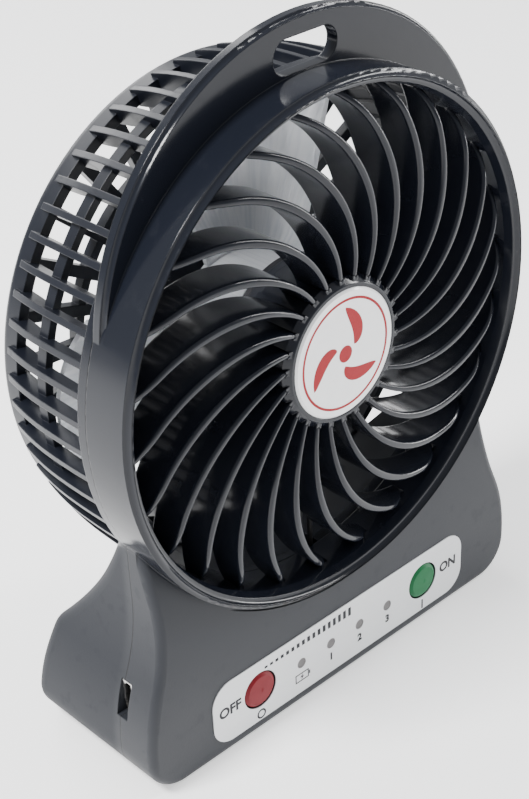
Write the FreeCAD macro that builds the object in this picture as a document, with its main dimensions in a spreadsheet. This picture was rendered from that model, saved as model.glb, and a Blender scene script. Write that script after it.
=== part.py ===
"""Rechargeable desk fan: two moulded covers around a ring, a small motor in the front hub, a frosted
impeller, and a base with a cell, a circuit board, two push buttons and a charging socket.

Units are millimetres. Every piece is drawn in a working frame with the front lip of the ring at y = 0,
the underside at z = 0 and +Y to the rear. Each piece's Placement then moves it back by half the depth,
so that the finished fan stands with its origin at the centre of its footprint."""
import FreeCAD
import Part
import math
import os
import Sketcher

doc = FreeCAD.newDocument("DeskFan")

# ---------------------------------------------------------------------------------------------- sizes

SIZES = {
    # the ring and its swirl grille
    "ring_radius": 52.5, "ring_wall": 3.0, "ring_low": 25.2, "lip_flare": 0.6, "lip_depth": 3.0,
    "part_line": 11.0, "vane_count": 26, "vane_thick": 1.3, "vane_back": 8.6, "vane_phase": 2.4,
    "vane_tip_turn": 55.9, "vane_root_turn": 10.79, "vane_sweep": 88.0, "crown_hub": 0.7,
    "crown_rim": 1.3, "crown_radius": 84.0, "tip_reach": 5.0, "tip_set": 5.3, "tip_round": 6.9,
    "hub_side": 2.65, "hub_bevel": 1.3, "hub_wall": 1.5,
    "badge_margin": 2.1, "badge_thick": 0.7, "badge_set": 0.1,
    # the base
    "face_set": 1.6, "foot_half": 52.6, "foot_corner": 8.0, "neck_half": 46.4, "flare_low": 9.0,
    "neck_low": 41.0, "neck_high": 56.0, "sweep_low": 16.0, "sweep_high": 54.0, "flange_set": 8.5,
    "shell": 2.0, "crown_rise": 10.3, "crown_inset": 3.25, "loop_edge": 0.8, "hang_width": 15.5,
    "hang_height": 6.3, "hang_drop": 6.9,
    # the rear cover
    "band": 2.2, "fin_count": 58, "fin_thick": 1.3, "rim_deep": 4.9,
    "rear_depth": 39.5, "rim_wall": 2.1, "rim_round": 1.7, "hoop_front": 24.7, "hoop_wide": 2.4,
    "bar_count": 29, "bar_wide": 2.3, "bar_thick": 2.2, "rear_disc": 12.5, "mid_ring": 33.0,
    "mid_ring_wide": 1.8, "shoulder_set": 5.0, "shoulder_z": 25.0, "heel_z": 6.0,
    "shoulder_radius": 98.0,
    # the control panel
    "label_half": 37.0, "label_low": 2.9, "label_high": 17.9, "label_corner": 5.0, "label_thick": 0.2,
    "button_radius": 4.0, "button_reach": 24.3, "button_z": 10.7, "button_gap": 0.35,
    "button_travel": 0.4, "button_proud": 0.35, "led_radius": 1.2, "led_first": -12.66,
    "led_pitch": 8.57, "led_z": 10.4,
    # the electrics
    "board_front": 8.0, "board_thick": 1.2, "board_left": -47.6, "board_right": 36.0,
    "board_low": 5.2, "board_high": 23.8, "usb_z": 19.7, "usb_tall": 7.5, "usb_deep": 2.6,
    "usb_long": 5.2, "usb_mouth": -50.0, "cell_radius": 9.2, "cell_long": 65.0, "cell_set": 5.7,
    "cell_rest": 2.2, "door_half": 31.0, "door_thick": 1.3, "door_gap": 0.3,
    # the motor and the impeller
    "motor_radius": 12.2, "motor_long": 12.3, "motor_gap": 0.15, "shaft_radius": 1.0,
    "shaft_short": 1.5, "tip_gap": 3.2, "impeller_hub": 13.5, "impeller_clear": 2.7,
    "impeller_deep": 14.1, "blade_count": 4, "blade_thick": 1.2, "running_gap": 0.05,
    # fasteners and leads
    "screw_radius": 1.3, "screw_head": 2.5, "lead_radius": 0.6, "screw_reach": 41.0,
    "screw_z": 35.0, "low_screw_reach": 45.4, "low_screw_z": 5.2, "screw_floor": 3.2,
}

sheet = doc.addObject("Spreadsheet::Sheet", "Sizes")
for row, (name, number) in enumerate(SIZES.items(), start=1):
    sheet.set(f"A{row}", name)
    sheet.set(f"B{row}", str(number))
    sheet.setAlias(f"B{row}", name)
doc.recompute()


class Size:
    """A number together with the spreadsheet expression that gives it."""

    def __init__(self, value, text):
        self.value = float(value)
        self.text = text

    def join(self, other, sign, value):
        return Size(value, f"({self.text} {sign} {other.text})")

    def __add__(self, other):
        other = as_size(other)
        return self.join(other, "+", self.value + other.value)

    def __sub__(self, other):
        other = as_size(other)
        return self.join(other, "-", self.value - other.value)

    def __mul__(self, other):
        other = as_size(other)
        return self.join(other, "*", self.value * other.value)

    def __truediv__(self, other):
        other = as_size(other)
        return self.join(other, "/", self.value / other.value)

    def __radd__(self, other):
        return as_size(other) + self

    def __rsub__(self, other):
        return as_size(other) - self

    def __rmul__(self, other):
        return as_size(other) * self

    def __neg__(self):
        return Size(-self.value, f"(0 - {self.text})")


def as_size(number):
    """Wrap a plain number so that it can join an expression."""
    if isinstance(number, Size):
        return number
    return Size(number, f"({number:.6g})")


def root(size):
    return Size(math.sqrt(size.value), f"sqrt({size.text})")


def sine(size):
    return Size(math.sin(math.radians(size.value)), f"sin({size.text} * 1deg)")


def cosine(size):
    return Size(math.cos(math.radians(size.value)), f"cos({size.text} * 1deg)")


size = {name: Size(number, f"Sizes.{name}") for name, number in SIZES.items()}
ring = size["ring_radius"]
bore = size["ring_radius"] - size["ring_wall"]
axis_z = size["ring_low"] + ring
cup_bore = size["motor_radius"] + size["motor_gap"]
hub = cup_bore + size["hub_side"]
badge_radius = hub - size["badge_margin"]
part_line = size["part_line"]
rear_depth = size["rear_depth"]
shell = size["shell"]
board_back = size["board_front"] + size["board_thick"]

# ------------------------------------------------------------------------------------ modelling helpers

PLANES = {"front": "XZ_Plane", "side": "YZ_Plane", "top": "XY_Plane"}
nodes = []


def bind(feature, name, number):
    """Give a property its number, tied to the spreadsheet."""
    number = as_size(number)
    setattr(feature, name, number.value)
    feature.setExpression(name, number.text)


def new_body(label):
    """Start a piece: a PartDesign body whose label is its node name."""
    body = doc.addObject("PartDesign::Body", label)
    body.Label = label
    nodes.append(body)
    return body


def new_sketch(body, view, origin):
    """Attach an empty sketch. "front" draws x, z at a depth y; "side" draws y, z at an x; "top" draws
    x, y at a height z. origin is the sketch's own zero point, as x, y, z."""
    sketch = body.newObject("Sketcher::SketchObject", "Sketch")
    plane = [item for item in body.Origin.OriginFeatures if item.Role == PLANES[view]][0]
    sketch.AttachmentSupport = [(plane, "")]
    sketch.MapMode = "FlatFace"
    x, y, z = (as_size(number) for number in origin)
    shift = {"front": (x, z, -y), "side": (y, z, x), "top": (x, y, z)}[view]
    sketch.AttachmentOffset = FreeCAD.Placement(
        FreeCAD.Vector(*(number.value for number in shift)), FreeCAD.Rotation())
    for letter, number in zip("xyz", shift):
        sketch.setExpression(f".AttachmentOffset.Base.{letter}", number.text)
    return sketch


def hold(sketch, kind, item, point, number):
    """Add one driving constraint and tie it to the spreadsheet."""
    number = as_size(number)
    place = (item, point, number.value) if point else (item, number.value)
    index = sketch.addConstraint(Sketcher.Constraint(kind, *place))
    sketch.setExpression(f"Constraints[{index}]", number.text)


def circle(sketch, x, y, radius):
    x, y, radius = as_size(x), as_size(y), as_size(radius)
    shape = Part.Circle(FreeCAD.Vector(x.value, y.value, 0), FreeCAD.Vector(0, 0, 1), radius.value)
    item = sketch.addGeometry(shape, False)
    hold(sketch, "Radius", item, 0, radius)
    hold(sketch, "DistanceX", item, 3, x)
    hold(sketch, "DistanceY", item, 3, y)


def outline(sketch, corners):
    """Draw a closed outline. A corner is (x, y), or (x, y, radius, side) when an arc arrives at it from
    the corner before: side 1 bows the arc to the left of the way it runs, and -1 to the right."""
    count = len(corners)
    points = [FreeCAD.Vector(as_size(c[0]).value, as_size(c[1]).value, 0) for c in corners]
    items = []
    for index, corner in enumerate(corners):
        start, end = points[index - 1], points[index]
        if len(corner) == 2:
            items.append(sketch.addGeometry(Part.LineSegment(start, end), False))
            continue
        radius, side = as_size(corner[2]).value, corner[3]
        chord = end - start
        left = FreeCAD.Vector(-chord.y, chord.x, 0).normalize()
        centre = (start + end) / 2 - left * side * math.sqrt(radius ** 2 - chord.Length ** 2 / 4)
        first, last = (end, start) if side == 1 else (start, end)
        from_angle = math.atan2(first.y - centre.y, first.x - centre.x)
        to_angle = math.atan2(last.y - centre.y, last.x - centre.x)
        if to_angle < from_angle:
            to_angle += 2 * math.pi
        whole = Part.Circle(centre, FreeCAD.Vector(0, 0, 1), radius)
        items.append(sketch.addGeometry(Part.ArcOfCircle(whole, from_angle, to_angle), False))
    for index, corner in enumerate(corners):
        item = items[index]
        after = items[(index + 1) % count]
        end_point = 2
        start_point = 1
        if len(corner) == 4 and corner[3] == 1:
            end_point = 1
        if len(corners[(index + 1) % count]) == 4 and corners[(index + 1) % count][3] == 1:
            start_point = 2
        sketch.addConstraint(Sketcher.Constraint("Coincident", item, end_point, after, start_point))
        hold(sketch, "DistanceX", item, end_point, corner[0])
        hold(sketch, "DistanceY", item, end_point, corner[1])
        if len(corner) == 4:
            hold(sketch, "Radius", item, 0, corner[2])


def box(sketch, x_low, x_high, y_low, y_high):
    outline(sketch, [(x_low, y_low), (x_high, y_low), (x_high, y_high), (x_low, y_high)])


def pad(body, sketch, length, both=False, cut=False):
    """Pad or pocket a sketch. From a "front" sketch a pad grows to the front and a pocket cuts to the
    rear; from a "side" or "top" sketch a pad grows to +X or +Z and a pocket cuts the other way."""
    kind = "PartDesign::Pocket" if cut else "PartDesign::Pad"
    before = body.Tip.Shape.Volume if cut else 0
    feature = body.newObject(kind, "Cut" if cut else "Pad")
    feature.Profile = sketch
    if both:
        feature.SideType = "Symmetric"
    bind(feature, "Length", length)
    doc.recompute()
    if cut and not feature.Shape.Volume < before - 1e-6:
        raise ValueError(f"{body.Label}: {feature.Name} removes nothing")
    return feature


def turn(body, sketch, axis="H_Axis", cut=False):
    """Revolve a sketch fully about its own horizontal axis."""
    before = body.Tip.Shape.Volume if cut else 0
    feature = body.newObject("PartDesign::Groove" if cut else "PartDesign::Revolution", "Turn")
    feature.Profile = sketch
    feature.ReferenceAxis = (sketch, [axis])
    feature.Angle = 360
    doc.recompute()
    if cut and not feature.Shape.Volume < before - 1e-6:
        raise ValueError(f"{body.Label}: {feature.Name} removes nothing")
    return feature


def around(body, features, centre_sketch, count):
    """Repeat features about the normal of a sketch centred on the ring."""
    pattern = body.newObject("PartDesign::PolarPattern", "Around")
    pattern.Originals = features
    pattern.Axis = (centre_sketch, ["N_Axis"])
    pattern.Angle = 360
    pattern.Occurrences = int(count.value)
    pattern.setExpression("Occurrences", count.text)
    body.Tip = pattern
    doc.recompute()
    return pattern


def turned(label, corners, x=0, z=0, along="y"):
    """Make a turned piece from (distance along the axis, radius) corners, the axis at x, z."""
    body = new_body(label)
    if along == "y":
        sketch = new_sketch(body, "side", (x, 0, z))
    else:
        sketch = new_sketch(body, "front", (0, x, z))
    outline(sketch, corners)
    turn(body, sketch)
    return body


def block(label, x_low, x_high, y_low, y_high, z_low, z_high):
    """Make a rectangular piece."""
    body = new_body(label)
    sketch = new_sketch(body, "front", (0, y_high, 0))
    box(sketch, x_low, x_high, z_low, z_high)
    pad(body, sketch, as_size(y_high) - y_low)
    return body


def bore_hole(body, x, y, z, radius, depth):
    """Cut round holes that start at depth y and run to the rear; x and z may be lists of places."""
    sketch = new_sketch(body, "front", (0, y, 0))
    places = x if isinstance(x, list) else [(x, z)]
    for place in places:
        circle(sketch, place[0], place[1], radius)
    return pad(body, sketch, depth, cut=True)


def base_corners(hollow):
    """The base seen from the front: a rounded foot whose flanks draw in to a neck below the ring. Its
    top is cut to the circle of radius hollow about the ring's axis."""
    foot, neck, corner = size["foot_half"], size["neck_half"], size["foot_corner"]
    low, high = size["flare_low"], size["neck_low"]
    middle_x, middle_z = (foot + neck) / 2, (low + high) / 2
    rise, run = (high - low) / 2, (foot - neck) / 2
    flank = (rise * rise + run * run) / (2 * run)
    top = size["neck_high"]
    edge = root(hollow * hollow - (axis_z - top) * (axis_z - top))
    return [
        (foot - corner, 0), (foot, corner, corner, -1), (foot, low),
        (middle_x, middle_z, flank, -1), (neck, high, flank, 1), (neck, top), (edge, top),
        (-edge, top, hollow, 1), (-neck, top), (-neck, high), (-middle_x, middle_z, flank, 1),
        (-foot, low, flank, -1), (-foot, corner), (corner - foot, 0, corner, -1),
    ]


def round_edges(body, radius, choose):
    """Fillet the edges of the piece that choose accepts."""
    names = [f"Edge{i}" for i, edge in enumerate(body.Tip.Shape.Edges, start=1) if choose(edge)]
    feature = body.newObject("PartDesign::Fillet", "Round")
    feature.Base = (feature.BaseFeature or body.Tip, names)
    bind(feature, "Radius", radius)
    doc.recompute()
    return feature


# ---------------------------------------------------------------------------------------- front cover
# One moulding: the ring with its rounded lip, the hang loop, the swirl vanes that carry the motor hub,
# and the front half of the base.

body = new_body("front_cover")
sketch = new_sketch(body, "front", (0, part_line, 0))
outline(sketch, base_corners(bore + 1))
pad(body, sketch, part_line - size["face_set"])

sweep_low, sweep_high = size["sweep_low"], size["sweep_high"]
sweep_rise = sweep_high - sweep_low
sweep_run = size["flange_set"] - size["face_set"]
sweep_radius = (sweep_rise * sweep_rise + sweep_run * sweep_run) / (2 * sweep_run)
sketch = new_sketch(body, "side", (0, 0, 0))
outline(sketch, [
    (size["face_set"], sweep_low), (size["flange_set"], sweep_high, sweep_radius, 1),
    (size["flange_set"], ring + axis_z), (-part_line, ring + axis_z), (-part_line, sweep_low)])
pad(body, sketch, 4 * ring, both=True, cut=True)

front_edge = size["face_set"].value
round_edges(body, 1.6, lambda edge: (
    edge.BoundBox.YMax < part_line.value - 0.5 and edge.BoundBox.YMin < size["flange_set"].value - 0.2
    and edge.BoundBox.XLength < 2 * size["foot_half"].value - size["foot_corner"].value * 2 + 1
    and abs(edge.CenterOfMass.x) > size["neck_half"].value * 0.6
    or edge.BoundBox.YMax < front_edge + 0.1 and edge.BoundBox.ZMax < 0.1))

sketch = new_sketch(body, "side", (0, 0, 0))
inner_radius = sweep_radius - shell
cavity_top = sweep_high - 1
cavity_lean = size["flange_set"] + shell - 0.4
outline(sketch, [
    (part_line, shell), (part_line, cavity_top), (cavity_lean, cavity_top),
    (size["face_set"] + shell, sweep_low, inner_radius, -1), (size["face_set"] + shell, shell)])
pad(body, sketch, 2 * (size["neck_half"] - shell), both=True, cut=True)

sketch = new_sketch(body, "front", (0, size["face_set"] + shell + 1, 0))
side_in, side_out = size["neck_half"] - shell - 1, size["foot_half"] - shell - 1.6
for side in (-1, 1):
    outline(sketch, [
        (side * side_in, shell + 3), (side * side_out, shell + 3),
        (side * side_out, size["flare_low"] + 8), (side * (side_out - 1), size["flare_low"] + 16),
        (side * side_in, size["flare_low"] + 18)])
pad(body, sketch, part_line, cut=True)

loop_radius, loop_edge = ring - size["crown_inset"], size["loop_edge"]
crown_top = axis_z + ring + size["crown_rise"]
sketch = new_sketch(body, "side", (0, 0, crown_top - loop_radius))
outline(sketch, [
    (part_line, 0), (part_line, loop_radius), (size["flange_set"] + loop_edge, loop_radius),
    (size["flange_set"], loop_radius - loop_edge, loop_edge * 1.0001, 1), (size["flange_set"], 0)])
turn(body, sketch)

sketch = new_sketch(body, "front", (0, part_line, axis_z))
circle(sketch, 0, 0, ring - 0.2)
pad(body, sketch, part_line - size["lip_depth"])

half_slot = (size["hang_width"] - size["hang_height"]) / 2
slot_z = crown_top - size["hang_drop"]
slot_half = size["hang_height"] / 2
sketch = new_sketch(body, "front", (0, 0, slot_z))
outline(sketch, [
    (half_slot, -slot_half), (half_slot, slot_half, slot_half * 1.0001, -1),
    (-half_slot, slot_half), (-half_slot, -slot_half, slot_half * 1.0001, -1)])
pad(body, sketch, part_line + 1, cut=True)

sketch = new_sketch(body, "front", (0, 0, axis_z))
circle(sketch, 0, 0, bore)
pad(body, sketch, part_line + 1, cut=True)

# The vanes are arcs of one radius. A vane's centre line starts in the ring wall, where it stands at
# vane_tip_turn to the radius, meets the hub at vane_root_turn, and runs past it, where the bore trims it.
tip_turn = size["vane_tip_turn"]
arc = (bore * bore - hub * hub) / (2 * (bore * sine(tip_turn) - hub * sine(size["vane_root_turn"])))
lean = size["vane_phase"]
arc_x = -arc * cosine(tip_turn)
arc_z = bore - arc * sine(tip_turn)
centre_x = arc_x * cosine(lean) + arc_z * sine(lean)
centre_z = arc_z * cosine(lean) - arc_x * sine(lean)
vane_sketch = new_sketch(body, "front", (0, size["vane_back"], axis_z))
tip_angle = tip_turn - lean + 2
root_angle = tip_turn - lean - size["vane_sweep"]
thick = size["vane_thick"]
outer, inner = arc + thick / 2, arc - thick / 2
ends = [
    (outer, root_angle), (outer, tip_angle), (inner, tip_angle), (inner, root_angle)]
spots = [(centre_x + r * cosine(a), centre_z + r * sine(a)) for r, a in ends]
outline(vane_sketch, [spots[0], (*spots[1], outer, -1), spots[2], (*spots[3], inner, 1)])
vane = pad(body, vane_sketch, size["vane_back"] + 2.5)
around(body, [vane], vane_sketch, size["vane_count"])

# The vanes' front edges lie on a shallow crown, which falls away in a round to the ring's wall. The lip
# goes on after this cut, so that no stub of a vane is left on it.
sketch = new_sketch(body, "side", (0, 0, axis_z))
outline(sketch, [
    (-part_line, 0), (size["crown_hub"], 0), (size["crown_hub"], hub),
    (size["crown_rim"], bore - size["tip_reach"], size["crown_radius"], 1),
    (size["tip_set"], bore, size["tip_round"], 1), (size["lip_depth"], bore),
    (size["lip_depth"], ring + 1), (-part_line, ring + 1)])
turn(body, sketch, cut=True)

lip_round = (size["ring_wall"] - size["lip_flare"]) / 2
sketch = new_sketch(body, "side", (0, 0, axis_z))
outline(sketch, [
    (part_line, bore), (part_line, ring), (lip_round, ring),
    (0, ring - lip_round, lip_round * 1.0001, 1),
    (lip_round, ring - 2 * lip_round, lip_round * 1.0001, 1),
    (size["lip_depth"], bore)])
turn(body, sketch)

# The hub is a cup that is open to the rear. Its front carries the badge, and the motor seats inside.
badge_floor = size["badge_set"] + size["badge_thick"]
cup_floor = badge_floor + size["hub_wall"]
motor_front = cup_floor + 0.1
motor_back = motor_front + size["motor_long"]
sketch = new_sketch(body, "side", (0, 0, axis_z))
outline(sketch, [
    (badge_floor, 0), (badge_floor, badge_radius + 0.1),
    (badge_floor - 0.4, badge_radius + 0.1), (badge_floor - 0.4, hub - size["hub_bevel"]),
    (badge_floor - 0.4 + size["hub_bevel"], hub), (motor_back, hub), (motor_back, 0)])
turn(body, sketch)
bore_hole(body, 0, 0, axis_z, badge_radius + 0.1, badge_floor)
bore_hole(body, 0, cup_floor, axis_z, cup_bore, motor_back)
lead_y, lead_reach = motor_back - 2.4, 1.4
sketch = new_sketch(body, "front", (0, lead_y - 1, axis_z))
box(sketch, -lead_reach - 1, lead_reach + 1, -hub - 1, 1 - cup_bore)
pad(body, sketch, motor_back, cut=True)

# Openings in the face for the two buttons and the four lamps, and in the left flank for the socket.
reach, button_z = size["button_reach"], size["button_z"]
button_hole = size["button_radius"] + size["button_gap"]
bore_hole(body, [(-reach, button_z), (reach, button_z)], 0, 0, button_hole, part_line)
lamps = [size["led_first"] + size["led_pitch"] * index for index in range(4)]
bore_hole(body, [(x, size["led_z"]) for x in lamps], 0, 0, size["led_radius"] + 0.1, part_line)
usb_z = size["usb_z"]
usb_half = size["usb_tall"] / 2 + 0.2
usb_outside, usb_inside = -size["foot_half"] - 1, size["usb_mouth"] + size["usb_long"] + 1
usb_front = board_back - 0.2
usb_back = board_back + size["usb_deep"] + 0.2
sketch = new_sketch(body, "front", (0, usb_front, 0))
box(sketch, usb_outside, usb_inside, usb_z - usb_half, usb_z + usb_half)
pad(body, sketch, part_line, cut=True)

# Pillars that the housing screws bite into, each with its pilot hole. Each pair has its own reach into
# the front cover, because the face leans back as it rises.
pilot = size["screw_radius"] - 0.2
high_screws = [(side * size["screw_reach"], size["screw_z"]) for side in (-1, 1)]
low_screws = [(side * size["low_screw_reach"], size["low_screw_z"]) for side in (-1, 1)]
screw_places = high_screws + low_screws
for pair, front in ((high_screws, 3.2), (low_screws, 1)):
    sketch = new_sketch(body, "front", (0, part_line, 0))
    for x, z in pair:
        circle(sketch, x, z, size["screw_radius"] + 1.2)
    pad(body, sketch, part_line - size["face_set"] - front)
bore_hole(body, screw_places, part_line - 5.5, 0, pilot, 10)

# Two pillars on the inside of the face carry the circuit board.
board_screws = [(-38, 20.5), (33, 8)]
sketch = new_sketch(body, "front", (0, size["board_front"], 0))
for x, z in board_screws:
    circle(sketch, x, z, 2.4)
pad(body, sketch, size["board_front"] - size["face_set"] - 1)
bore_hole(body, board_screws, size["board_front"] - 4, 0, 0.8, 4)

# ----------------------------------------------------------------------------------------- rear cover
# One moulding: a plain band against the front cover, the ring of louvre fins with its stiffening hoop,
# the rear rim with radial bars, and the deep rear half of the base.

body = new_body("rear_cover")
sketch = new_sketch(body, "front", (0, rear_depth, 0))
outline(sketch, base_corners(bore))
pad(body, sketch, rear_depth - part_line)

band_back = part_line + size["band"]
shoulder_y, shoulder_z = rear_depth - size["shoulder_set"], size["shoulder_z"]
sketch = new_sketch(body, "side", (0, 0, 0))
outline(sketch, [
    (band_back, size["neck_high"] + 1), (shoulder_y, shoulder_z, size["shoulder_radius"], -1),
    (rear_depth, size["heel_z"]), (rear_depth + 5, size["heel_z"]),
    (rear_depth + 5, size["neck_high"] + 5), (band_back, size["neck_high"] + 5)])
pad(body, sketch, 4 * ring, both=True, cut=True)

back_edges = [shoulder_z.value, size["heel_z"].value]
round_edges(body, 6.0, lambda edge: (
    edge.BoundBox.YLength < 0.01 and edge.BoundBox.XLength > 20
    and min(abs(edge.CenterOfMass.z - z) for z in back_edges) < 0.01
    and edge.CenterOfMass.y > part_line.value + 1))
round_edges(body, 3.0, lambda edge: (
    edge.BoundBox.YMin > band_back.value - 0.1 and edge.BoundBox.ZMin < size["neck_high"].value - 1
    and (abs(edge.CenterOfMass.x) > size["neck_half"].value - 2.5
         or edge.BoundBox.ZMax < 0.01 and edge.BoundBox.YLength < 0.01)))

# The hollow of the base: the cell and the board side, under the drum.
heel_inner = rear_depth - shell
cavity_top = axis_z - ring - 1.2
sketch = new_sketch(body, "side", (0, 0, 0))
outline(sketch, [
    (part_line, shell), (heel_inner - 0.6, shell), (heel_inner - 0.6, size["heel_z"]),
    (shoulder_y - shell - 0.3, cavity_top), (part_line, cavity_top)])
pad(body, sketch, 2 * (size["neck_half"] - shell), both=True, cut=True)

# Pockets in the two shoulders keep the walls from being thick.
pocket_radius = ring + 0.6
pocket_out = size["neck_half"] - shell
pocket_in = size["neck_half"] / 2
high_z = axis_z - root(pocket_radius * pocket_radius - pocket_out * pocket_out)
low_z = axis_z - root(pocket_radius * pocket_radius - pocket_in * pocket_in)
for side in (-1, 1):
    sketch = new_sketch(body, "front", (0, part_line, 0))
    outline(sketch, [
        (side * pocket_in, cavity_top - 1), (side * pocket_out, cavity_top - 1),
        (side * pocket_out, high_z), (side * pocket_in, low_z, pocket_radius, side)])
    pad(body, sketch, size["band"] + 3.6, cut=True)

# The battery opening in the rear wall, with a rebate that the door lies in. The wall slopes, so the
# cuts are drawn from points along it.
slope_y, slope_z = rear_depth - shoulder_y, size["heel_z"] - shoulder_z
slope = root(slope_y * slope_y + slope_z * slope_z)
along_y, along_z = slope_y / slope, slope_z / slope
out_y, out_z = -along_z, along_y


def wall_point(distance, outward):
    """A point of the sloping rear wall: distance down it from the shoulder, outward from its face."""
    return (shoulder_y + along_y * distance + out_y * outward,
            shoulder_z + along_z * distance + out_z * outward)


def wall_slab(body, half, start, end, inner, outer, cut=False):
    """Add or cut a slab that lies in the sloping rear wall."""
    sketch = new_sketch(body, "side", (0, 0, 0))
    outline(sketch, [
        wall_point(start, inner), wall_point(end, inner), wall_point(end, outer),
        wall_point(start, outer)])
    return pad(body, sketch, 2 * half, both=True, cut=cut)


door_start, door_end = 2.2, slope - 1.6
door_half, door_thick, gap = size["door_half"], size["door_thick"], size["door_gap"]
wall_slab(body, door_half + gap, door_start - gap, door_end + gap, -door_thick - 0.15, 2, cut=True)
wall_slab(body, door_half - 2, door_start + 2, door_end - 2, -shell - 3, 2, cut=True)

# End walls of the cell bay.
cell_radius, cell_half = size["cell_radius"], size["cell_long"] / 2
cell_y, cell_z = rear_depth - size["cell_set"] - cell_radius, shell + size["cell_rest"] + cell_radius
bay_wall = cell_half + 1.1
sketch = new_sketch(body, "front", (0, cell_y + 6, 0))
for side in (-1, 1):
    box(sketch, side * bay_wall, side * (bay_wall + 1.4), shell - 0.5, cavity_top + 0.5)
pad(body, sketch, 12.6)

# The holes and wells of the housing screws.
screw_seat = part_line + size["screw_floor"]
for pair, deep in ((high_screws, 9), (low_screws, 19)):
    sketch = new_sketch(body, "front", (0, part_line + deep, 0))
    for x, z in pair:
        circle(sketch, x, z, size["screw_head"] + 1.5)
    pad(body, sketch, deep)
bore_hole(body, screw_places, part_line - 1, 0, size["screw_radius"] + 0.15, 9)
bore_hole(body, screw_places, screw_seat, 0, size["screw_head"] + 0.25, rear_depth)
sketch = new_sketch(body, "front", (0, part_line, 0))
box(sketch, usb_outside, usb_inside, usb_z - usb_half, usb_z + usb_half)
pad(body, sketch, usb_back - part_line, cut=True)

# The drum: band, hoop and rear rim are turned; the fins join them.
rim, rim_front, rim_round = bore, rear_depth - size["rim_deep"], size["rim_round"]
rim_bore = rim - size["rim_wall"]
hoop_front, hoop_wide = size["hoop_front"], size["hoop_wide"]
drum_sketch = new_sketch(body, "side", (0, 0, axis_z))
outline(drum_sketch, [(part_line, bore), (part_line, ring), (band_back, ring), (band_back, bore)])
turn(body, drum_sketch)
sketch = new_sketch(body, "front", (0, part_line, 0))
box(sketch, -lead_reach - 1, lead_reach + 1, cavity_top - 1, axis_z - bore + 1)
pad(body, sketch, size["band"] + 1.5, cut=True)
fin_sketch = new_sketch(body, "side", (0, 0, axis_z))
outline(fin_sketch, [
    (band_back - 0.5, bore + 0.4), (band_back - 0.5, ring - 0.3), (hoop_front, ring - 0.5, 150, 1),
    (rim_front + 1.8, rim + 0.7, 60, 1), (rim_front + 1.8, rim - 1), (rim_front + 0.5, rim - 1),
    (rim_front + 0.5, rim - 2.6), (rim_front - 3, rim - 2), (hoop_front, bore - 0.2)])
fin = pad(body, fin_sketch, size["fin_thick"], both=True)
centre_sketch = new_sketch(body, "front", (0, 0, axis_z))
circle(centre_sketch, 0, 0, 1)
around(body, [fin], centre_sketch, size["fin_count"])
sketch = new_sketch(body, "side", (0, 0, axis_z))
outline(sketch, [
    (rim_front, rim_bore), (rim_front, rim), (rear_depth - rim_round, rim),
    (rear_depth, rim - rim_round, rim_round * 1.0001, 1), (rear_depth, rim_bore)])
turn(body, sketch)
sketch = new_sketch(body, "side", (0, 0, axis_z))
outline(sketch, [
    (hoop_front, bore - 0.6), (hoop_front, bore + 1), (hoop_front + hoop_wide, bore + 1),
    (hoop_front + hoop_wide, bore - 0.6)])
turn(body, sketch)

# The rear guard: radial bars from a centre disc to the rim, with one ring between.
bar_front = rear_depth - 0.4 - size["bar_thick"]
bar_sketch = new_sketch(body, "front", (0, rear_depth - 0.4, axis_z))
bar_half = size["bar_wide"] / 2
box(bar_sketch, -bar_half, bar_half, size["rear_disc"] - 1, rim_bore + 1)
bar = pad(body, bar_sketch, size["bar_thick"])
around(body, [bar], centre_sketch, size["bar_count"])
sketch = new_sketch(body, "side", (0, 0, axis_z))
outline(sketch, [
    (bar_front, 0), (bar_front, size["rear_disc"]), (rear_depth - 0.8, size["rear_disc"]),
    (rear_depth, size["rear_disc"] - 1.2), (rear_depth, 0)])
turn(body, sketch)
sketch = new_sketch(body, "side", (0, 0, axis_z))
middle, middle_half = size["mid_ring"], size["mid_ring_wide"] / 2
outline(sketch, [
    (bar_front + 0.2, middle - middle_half), (bar_front + 0.2, middle + middle_half),
    (rear_depth - 0.2, middle + middle_half), (rear_depth - 0.2, middle - middle_half)])
turn(body, sketch)

door = new_body("battery_door")
wall_slab(door, door_half, door_start, door_end, -door_thick, 0)
wall_slab(door, door_half / 4, door_start + 2.4, door_start + 4, -door_thick - 2, -door_thick)
wall_slab(door, door_half - 4, door_end - 4, door_end - 2.4, -door_thick - 1.5, -door_thick)

# --------------------------------------------------------------------------------------- front details
# The badge is a printed disc that hides the hub's recess; the label is a film over the control panel.

badge = turned("hub_badge", [
    (size["badge_set"], 0), (size["badge_set"], badge_radius - 0.4),
    (size["badge_set"] + 0.35, badge_radius), (badge_floor, badge_radius),
    (badge_floor, 0)], z=axis_z)

label = new_body("control_label")
sketch = new_sketch(label, "front", (0, size["face_set"], 0))
half, low, high, corner = size["label_half"], size["label_low"], size["label_high"], size["label_corner"]
outline(sketch, [
    (half - corner, low), (half, low + corner, corner, -1), (half, high - corner),
    (half - corner, high, corner, -1), (corner - half, high), (-half, high - corner, corner, -1),
    (-half, low + corner), (corner - half, low, corner, -1)])
pad(label, sketch, size["label_thick"])
bore_hole(label, [(-reach, button_z), (reach, button_z)], 0, 0, button_hole, part_line)
bore_hole(label, [(x, size["led_z"]) for x in lamps], 0, 0, size["led_radius"], part_line)

# ------------------------------------------------------------------------------------------- buttons
# Each button is a domed cap with a flange behind the face, and it rests on a switch on the board.

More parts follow.
